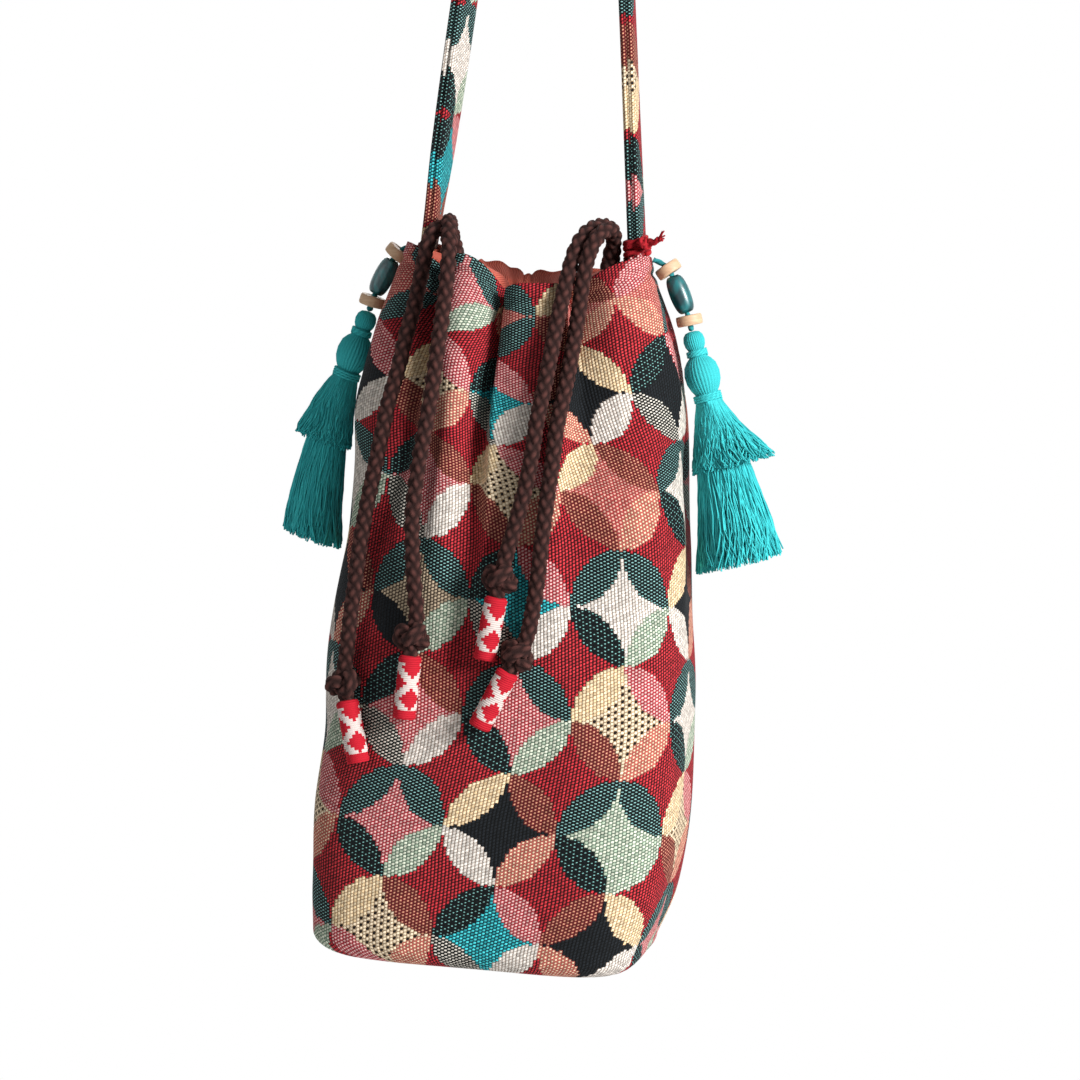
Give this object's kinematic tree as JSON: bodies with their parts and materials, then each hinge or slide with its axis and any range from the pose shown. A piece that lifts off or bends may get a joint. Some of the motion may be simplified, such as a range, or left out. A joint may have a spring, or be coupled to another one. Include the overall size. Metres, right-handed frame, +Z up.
{
  "type": "drawstring bucket bag",
  "caption": "Tall soft bucket bag with a gathered drawstring mouth, shoulder strap, knotted cord ends with woven tips, and a beaded tassel that swings at each side.",
  "frame": {"origin": "hang point: the underside of the top of the shoulder strap, on the bag's middle plane", "axes": "+Z up along the hanging bag, -Y to the front where the drawstrings hang, +X to the right seen from the front"},
  "size_m": [0.2106, 0.1021, 0.5305],
  "materials": {
    "jacquard": "woven jacquard in crimson, cream, pink, sage and dark green",
    "lining_cloth": "coral plain weave",
    "drawstring": "dark brown braid",
    "ribbon": "red and white woven ribbon",
    "strap_cloth": "folded woven jacquard band",
    "red_yarn": "red cotton yarn",
    "wood": "bare turned wood",
    "teal_bead": "glossy teal",
    "tassel_yarn": "turquoise cotton yarn"
  },
  "bodies": {
    "bag": {"bag_shell": "jacquard", "lining": "lining_cloth", "left_casing_cord": "drawstring", "right_casing_cord": "drawstring", "left_outer_cord": "drawstring", "left_inner_cord": "drawstring", "right_inner_cord": "drawstring", "right_outer_cord": "drawstring", "left_outer_tip": "ribbon", "left_inner_tip": "ribbon", "right_inner_tip": "ribbon", "right_outer_tip": "ribbon", "shoulder_strap": "strap_cloth", "strap_tie": "red_yarn"},
    "left_string": {"left_tassel_cord": "tassel_yarn"},
    "left_upper_disc": {"left_upper_disc_bead": "wood"},
    "left_oval": {"left_oval_bead": "teal_bead"},
    "left_lower_disc": {"left_lower_disc_bead": "wood"},
    "left_tassel": {"left_tassel_bundle": "tassel_yarn", "left_tassel_tier": "tassel_yarn", "left_head_binding": "tassel_yarn", "left_ball_binding": "tassel_yarn"},
    "right_string": {"right_tassel_cord": "tassel_yarn"},
    "right_upper_disc": {"right_upper_disc_bead": "wood"},
    "right_oval": {"right_oval_bead": "teal_bead"},
    "right_lower_disc": {"right_lower_disc_bead": "wood"},
    "right_tassel": {"right_tassel_bundle": "tassel_yarn", "right_tassel_tier": "tassel_yarn", "right_head_binding": "tassel_yarn", "right_ball_binding": "tassel_yarn"}
  },
  "joints": [
    {"name": "left_tassel_swing", "type": "hinge", "parent": "bag", "child": "left_string", "pos_m": [-0.04667, 0, -0.25], "axis": [0, 1, 0], "range_deg": [0, 60]},
    {"name": "left_upper_disc_spin", "type": "hinge", "parent": "left_string", "child": "left_upper_disc", "pos_m": [-0.0526, 0, -0.25329], "axis": [-0.6157, 0, -0.788], "continuous": true},
    {"name": "left_oval_spin", "type": "hinge", "parent": "left_string", "child": "left_oval", "pos_m": [-0.05761, 0, -0.26245], "axis": [-0.4226, 0, -0.9063], "continuous": true},
    {"name": "left_lower_disc_spin", "type": "hinge", "parent": "left_string", "child": "left_lower_disc", "pos_m": [-0.06172, 0, -0.27208], "axis": [-0.2588, 0, -0.9659], "continuous": true},
    {"name": "left_tassel_sway", "type": "hinge", "parent": "left_string", "child": "left_tassel", "pos_m": [-0.0625, 0, -0.27498], "axis": [1, 0, 0], "range_deg": [-35, 35]},
    {"name": "right_tassel_swing", "type": "hinge", "parent": "bag", "child": "right_string", "pos_m": [0.04667, 0, -0.25], "axis": [0, -1, 0], "range_deg": [0, 60]},
    {"name": "right_upper_disc_spin", "type": "hinge", "parent": "right_string", "child": "right_upper_disc", "pos_m": [0.0526, 0, -0.25329], "axis": [0.6157, 0, -0.788], "continuous": true},
    {"name": "right_oval_spin", "type": "hinge", "parent": "right_string", "child": "right_oval", "pos_m": [0.05761, 0, -0.26245], "axis": [0.4226, 0, -0.9063], "continuous": true},
    {"name": "right_lower_disc_spin", "type": "hinge", "parent": "right_string", "child": "right_lower_disc", "pos_m": [0.06172, 0, -0.27208], "axis": [0.2588, 0, -0.9659], "continuous": true},
    {"name": "right_tassel_sway", "type": "hinge", "parent": "right_string", "child": "right_tassel", "pos_m": [0.0625, 0, -0.27498], "axis": [1, 0, 0], "range_deg": [-35, 35]}
  ]
}
